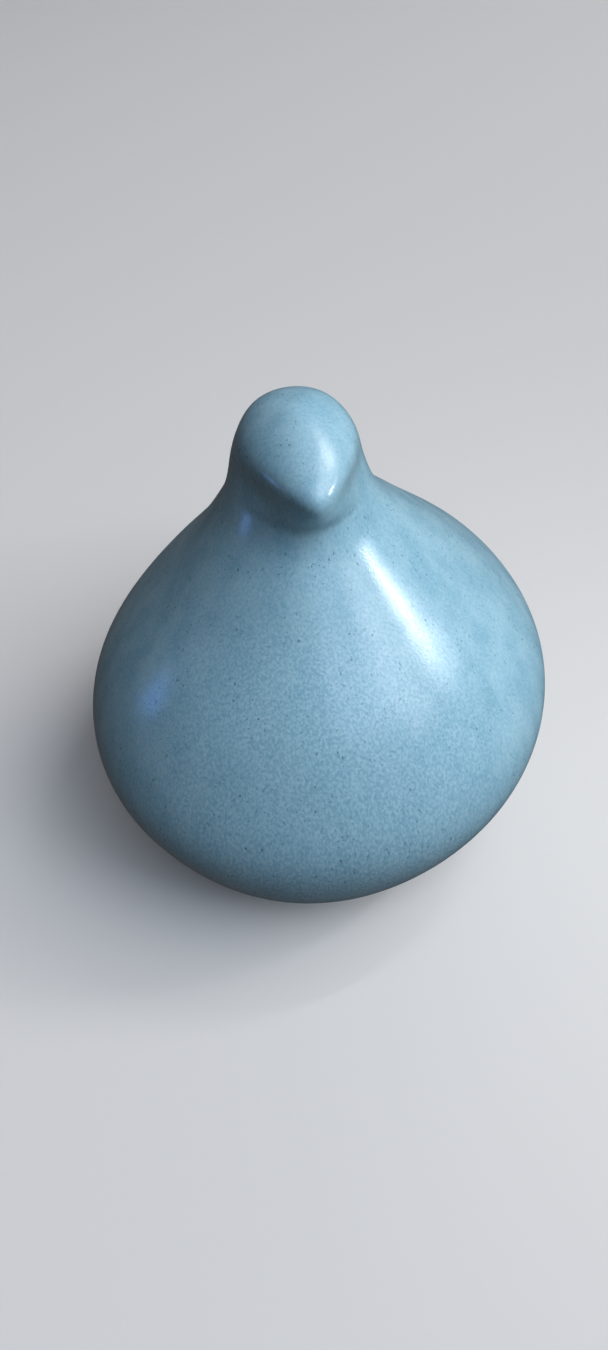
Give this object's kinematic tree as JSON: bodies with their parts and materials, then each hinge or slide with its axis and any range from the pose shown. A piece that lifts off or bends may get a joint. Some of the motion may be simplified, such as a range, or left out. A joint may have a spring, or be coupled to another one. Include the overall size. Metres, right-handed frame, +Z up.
{
  "type": "dove statue",
  "caption": "Plump one-piece stoneware dove with a small turned head, short blunt beak and short tail, sitting on a flat foot, in a mottled pale blue glaze.",
  "frame": {"origin": "on the flat underside, straight below the middle of the neck", "axes": "+Z up, the breast faces -Y and the tail points along +Y; +X is the bird's left, the side its head turns to"},
  "size_m": [0.1548, 0.1871, 0.1628],
  "materials": {
    "glaze": "semi-matte pale blue haresfur glaze, finely mottled in darker slate blue"
  },
  "bodies": {
    "root": {"dove": "glaze"}
  },
  "joints": []
}
